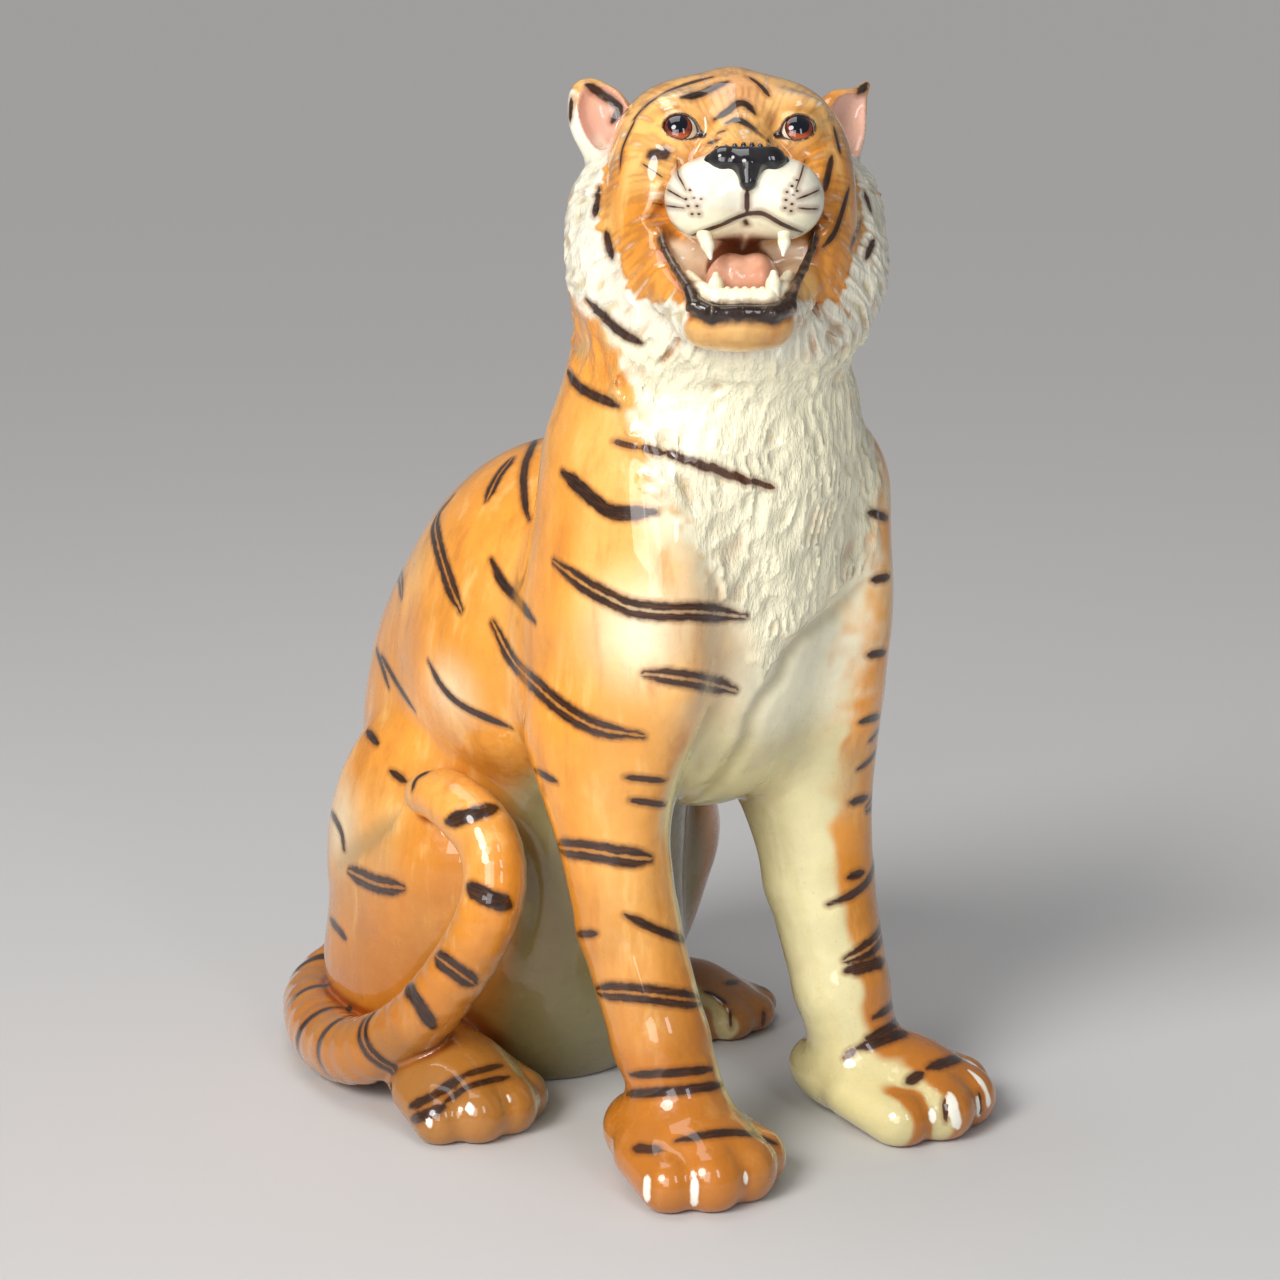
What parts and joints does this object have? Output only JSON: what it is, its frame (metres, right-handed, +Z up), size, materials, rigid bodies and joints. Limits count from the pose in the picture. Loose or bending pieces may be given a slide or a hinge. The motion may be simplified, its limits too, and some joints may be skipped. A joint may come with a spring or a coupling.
{
  "type": "ceramic tiger statue",
  "caption": "Large seated tiger, a hollow glazed ceramic floor ornament with its head turned, its mouth open and its tail curled round one haunch.",
  "frame": {"origin": "middle of the flat slab under the rump, on the floor", "axes": "+Z up, the tiger's body faces -Y, its right side is -X"},
  "size_m": [0.4293, 0.6089, 0.826],
  "materials": {
    "tiger_glaze": "glossy hand painted glaze, orange with cream and black brown stripes",
    "bare_clay": "unglazed biscuit",
    "pink_glaze": "glossy",
    "black_glaze": "glossy",
    "eye_glaze": "glossy painted eye",
    "tooth_glaze": "glossy"
  },
  "bodies": {
    "root": {"torso_shell": "tiger_glaze", "base_slab": "bare_clay", "right_foreleg": "tiger_glaze", "left_foreleg": "tiger_glaze", "right_haunch": "tiger_glaze", "left_haunch": "tiger_glaze", "right_hind_foot": "tiger_glaze", "left_hind_foot": "tiger_glaze", "tail": "tiger_glaze", "head_shell": "tiger_glaze", "lower_jaw": "tiger_glaze", "tongue": "pink_glaze", "nose_pad": "black_glaze", "right_ear": "tiger_glaze", "left_ear": "tiger_glaze", "right_eye": "eye_glaze", "left_eye": "eye_glaze", "upper_right_fang": "tooth_glaze", "upper_left_fang": "tooth_glaze", "lower_right_fang": "tooth_glaze", "lower_left_fang": "tooth_glaze", "lower_incisors": "tooth_glaze"}
  },
  "joints": []
}
